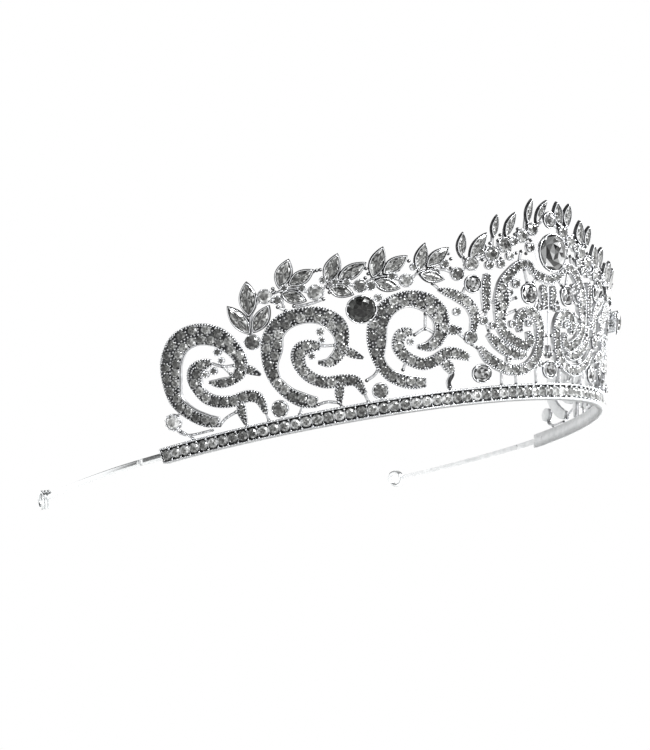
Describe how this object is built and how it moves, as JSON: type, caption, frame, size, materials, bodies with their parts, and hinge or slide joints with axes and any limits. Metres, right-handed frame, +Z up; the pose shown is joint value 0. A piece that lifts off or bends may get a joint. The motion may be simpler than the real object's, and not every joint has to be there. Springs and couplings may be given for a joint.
{
  "type": "bridal tiara",
  "caption": "Open-ended tiara: a stone-set band carries cast scrolls and a leaf vine that climbs to a crest over a round stone; springy side arms end in loops.",
  "frame": {"origin": "under the middle of the bounding box, level with the underside of the band and the bottoms of the end loops", "axes": "+Z up, the front of the tiara faces -Y, the wearer's right is at -X, and the open ends point to +Y"},
  "size_m": [0.1432, 0.1252, 0.0438],
  "materials": {
    "rhodium_plated_casting": "bright rhodium-coloured plating on a fine casting with beaded edges",
    "clear_cut_crystal": "clear faceted crystal",
    "foiled_rhinestone": "faceted glass with a dark foil back"
  },
  "bodies": {
    "front": {"arch_row_left": "rhodium_plated_casting", "arch_row_right": "rhodium_plated_casting", "arm_root_left": "rhodium_plated_casting", "arm_root_right": "rhodium_plated_casting", "bar_row_left": "rhodium_plated_casting", "bar_row_right": "rhodium_plated_casting", "base_band": "rhodium_plated_casting", "centre_collet": "rhodium_plated_casting", "centre_column": "rhodium_plated_casting", "centre_fleur": "rhodium_plated_casting", "centre_stone": "clear_cut_crystal", "crest_vine_left": "rhodium_plated_casting", "crest_vine_right": "rhodium_plated_casting", "drop_stone_left": "clear_cut_crystal", "drop_stone_right": "clear_cut_crystal", "end_seat_left": "rhodium_plated_casting", "end_seat_right": "rhodium_plated_casting", "eye_stone_left": "clear_cut_crystal", "eye_stone_right": "clear_cut_crystal", "foot_stone": "clear_cut_crystal", "heart_stone_left": "clear_cut_crystal", "heart_stone_right": "clear_cut_crystal", "inner_scroll_1_left": "rhodium_plated_casting", "inner_scroll_1_right": "rhodium_plated_casting", "inner_scroll_2_left": "rhodium_plated_casting", "inner_scroll_2_right": "rhodium_plated_casting", "inner_scroll_3_left": "rhodium_plated_casting", "inner_scroll_3_right": "rhodium_plated_casting", "j_scroll_left": "rhodium_plated_casting", "j_scroll_right": "rhodium_plated_casting", "medallion_left": "foiled_rhinestone", "medallion_right": "foiled_rhinestone", "outer_scroll_1_left": "rhodium_plated_casting", "outer_scroll_1_right": "rhodium_plated_casting", "outer_scroll_2_left": "rhodium_plated_casting", "outer_scroll_2_right": "rhodium_plated_casting", "outer_scroll_3_left": "rhodium_plated_casting", "outer_scroll_3_right": "rhodium_plated_casting", "s_scroll_left": "rhodium_plated_casting", "s_scroll_right": "rhodium_plated_casting", "stud_stone_1_left": "foiled_rhinestone", "stud_stone_1_right": "foiled_rhinestone", "stud_stone_2_left": "foiled_rhinestone", "stud_stone_2_right": "foiled_rhinestone", "top_stone": "clear_cut_crystal", "vine_spray_1_left": "rhodium_plated_casting", "vine_spray_1_right": "rhodium_plated_casting", "vine_spray_2_left": "rhodium_plated_casting", "vine_spray_2_right": "rhodium_plated_casting", "vine_spray_3_left": "rhodium_plated_casting", "vine_spray_3_right": "rhodium_plated_casting", "vine_spray_4_left": "rhodium_plated_casting", "vine_spray_4_right": "rhodium_plated_casting", "vine_spray_5_left": "rhodium_plated_casting", "vine_spray_5_right": "rhodium_plated_casting"},
    "left_arm": {"arm_left": "rhodium_plated_casting", "loop_left": "rhodium_plated_casting"},
    "right_arm": {"arm_right": "rhodium_plated_casting", "loop_right": "rhodium_plated_casting"}
  },
  "joints": [
    {"name": "left_arm_flex", "type": "hinge", "parent": "front", "child": "left_arm", "pos_m": [-0.06911, 0.0142, 0], "axis": [0, 0, 1], "range_deg": [-4, 10], "stiffness_Nm_per_rad": 0.58},
    {"name": "right_arm_flex", "type": "hinge", "parent": "front", "child": "right_arm", "pos_m": [0.06911, 0.0142, 0], "axis": [0, 0, -1], "range_deg": [-4, 10], "stiffness_Nm_per_rad": 0.58}
  ]
}
